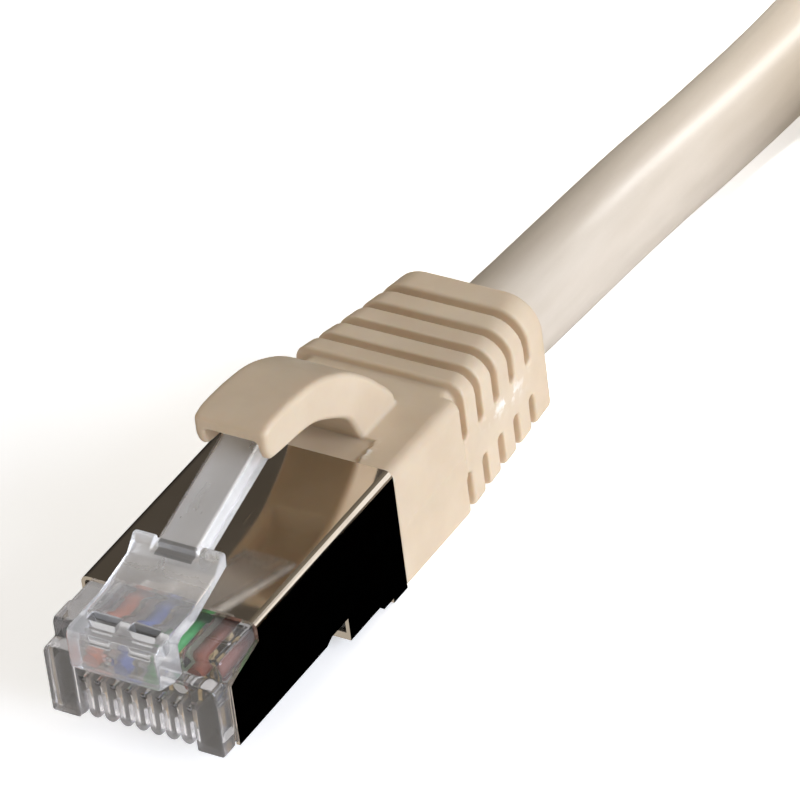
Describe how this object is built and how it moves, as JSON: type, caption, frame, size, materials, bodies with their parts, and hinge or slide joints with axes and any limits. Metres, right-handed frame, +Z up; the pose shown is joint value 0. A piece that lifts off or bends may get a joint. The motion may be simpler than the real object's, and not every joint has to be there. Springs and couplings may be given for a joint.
{
  "type": "ethernet patch cable",
  "caption": "Shielded network patch cable: round jacket in a tied coil, a clear modular plug with release latch and hooded, ribbed strain relief boot at each end.",
  "frame": {"origin": "on the floor, under the middle of the near plug with its boot", "axes": "+Y from the near plug's nose to its cable, +X across it from contact 1 to contact 8, +Z up, with the latch on top"},
  "size_m": [0.094, 0.1403, 0.0152],
  "materials": {
    "clear_plastic": "clear moulded polycarbonate",
    "shield_metal": "bright nickel plate",
    "contact_gold": "gold plated",
    "boot_rubber": "satin moulded PVC",
    "jacket": "satin extruded PVC",
    "tie_fabric": "woven hook and loop",
    "wire_white_orange": "extruded insulation",
    "wire_orange": "extruded insulation",
    "wire_white_green": "extruded insulation",
    "wire_blue": "extruded insulation",
    "wire_white_blue": "extruded insulation",
    "wire_green": "extruded insulation",
    "wire_white_brown": "extruded insulation",
    "wire_brown": "extruded insulation"
  },
  "bodies": {
    "cable_and_plugs": {"near_housing": "clear_plastic", "near_shield": "shield_metal", "near_load_bar": "clear_plastic", "near_contact_1": "contact_gold", "near_contact_2": "contact_gold", "near_contact_3": "contact_gold", "near_contact_4": "contact_gold", "near_contact_5": "contact_gold", "near_contact_6": "contact_gold", "near_contact_7": "contact_gold", "near_contact_8": "contact_gold", "near_wire_1": "wire_white_orange", "near_wire_2": "wire_orange", "near_wire_3": "wire_white_green", "near_wire_4": "wire_blue", "near_wire_5": "wire_white_blue", "near_wire_6": "wire_green", "near_wire_7": "wire_white_brown", "near_wire_8": "wire_brown", "near_boot": "boot_rubber", "cable_lead": "jacket", "cable_coil": "jacket", "cable_tail": "jacket", "coil_tie": "tie_fabric", "far_housing": "clear_plastic", "far_shield": "shield_metal", "far_load_bar": "clear_plastic", "far_contacts": "contact_gold", "far_wire_1": "wire_white_orange", "far_wire_2": "wire_orange", "far_wire_3": "wire_white_green", "far_wire_4": "wire_blue", "far_wire_5": "wire_white_blue", "far_wire_6": "wire_green", "far_wire_7": "wire_white_brown", "far_wire_8": "wire_brown", "far_boot": "boot_rubber"},
    "near_latch": {"near_latch": "clear_plastic"},
    "near_hood": {"near_boot_hood": "boot_rubber"},
    "far_latch": {"far_latch": "clear_plastic"},
    "far_hood": {"far_boot_hood": "boot_rubber"}
  },
  "joints": [
    {"name": "near_hood_press", "type": "hinge", "parent": "cable_and_plugs", "child": "near_hood", "pos_m": [0, 0.00565, 0.0102], "axis": [1, 0, 0], "range_deg": [0, 12], "stiffness_Nm_per_rad": 0.1},
    {"name": "near_latch_press", "type": "hinge", "parent": "cable_and_plugs", "child": "near_latch", "pos_m": [0, -0.01745, 0.0092], "axis": [1, 0, 0], "range_deg": [-10.8, 0], "stiffness_Nm_per_rad": 0.05},
    {"name": "far_hood_press", "type": "hinge", "parent": "cable_and_plugs", "child": "far_hood", "pos_m": [0.0824, 0.0328, 0.0102], "axis": [1, 0, 0], "range_deg": [0, 12], "stiffness_Nm_per_rad": 0.1},
    {"name": "far_latch_press", "type": "hinge", "parent": "cable_and_plugs", "child": "far_latch", "pos_m": [0.0824, 0.0097, 0.0092], "axis": [1, 0, 0], "range_deg": [-10.8, 0], "stiffness_Nm_per_rad": 0.05}
  ],
  "couplings": [
    {"joint": "near_latch_press", "follows": "near_hood_press", "ratio": -0.9},
    {"joint": "far_latch_press", "follows": "far_hood_press", "ratio": -0.9}
  ]
}
